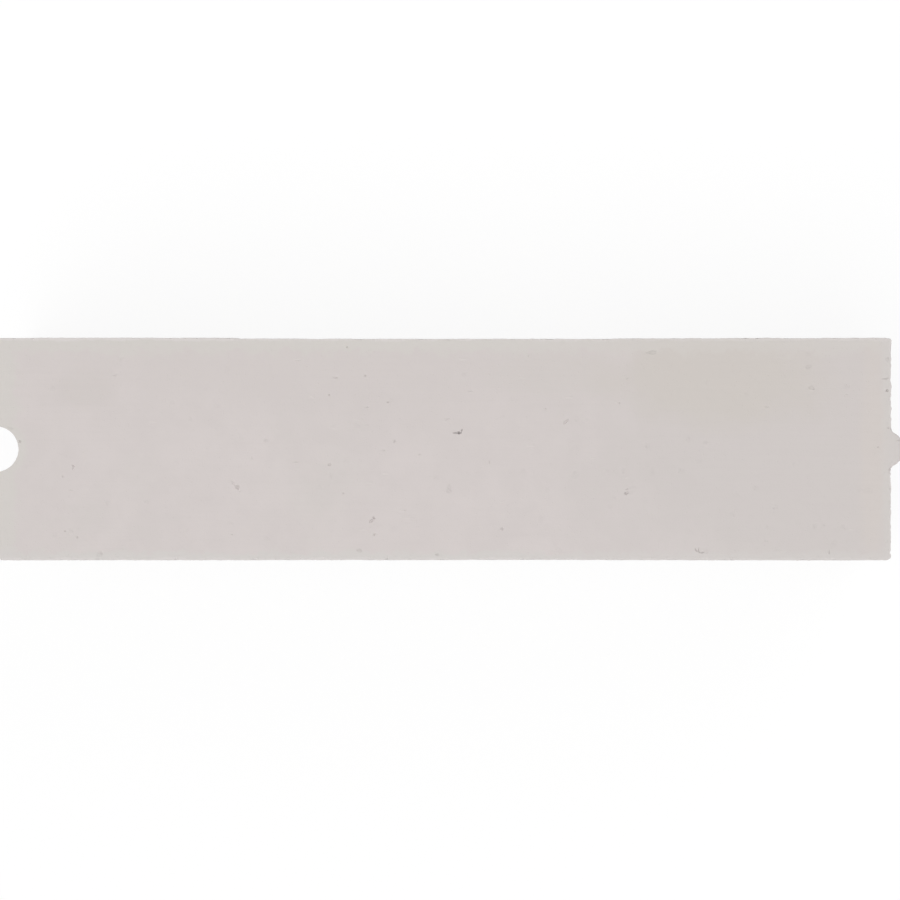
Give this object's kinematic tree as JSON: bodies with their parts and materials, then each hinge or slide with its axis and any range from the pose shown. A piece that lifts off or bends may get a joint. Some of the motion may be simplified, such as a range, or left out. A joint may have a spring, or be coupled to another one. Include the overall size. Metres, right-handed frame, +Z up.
{
  "type": "aerated concrete block",
  "caption": "Solid rectangular aerated concrete wall block with a half-round groove down one end and a rounded tongue down the other, laid end to end in thin-bed walls.",
  "frame": {"origin": "middle of the lower bed face, half-way between the two end faces, with the tongue not counted", "axes": "+X along the block's length towards the tongue, +Y through its thickness, +Z up as the block is laid"},
  "size_m": [0.608, 0.15, 0.2],
  "materials": {
    "aerated_concrete": "matt wire-cut surface, fine closed pores, pale warm grey"
  },
  "bodies": {
    "root": {"block": "aerated_concrete"}
  },
  "joints": []
}
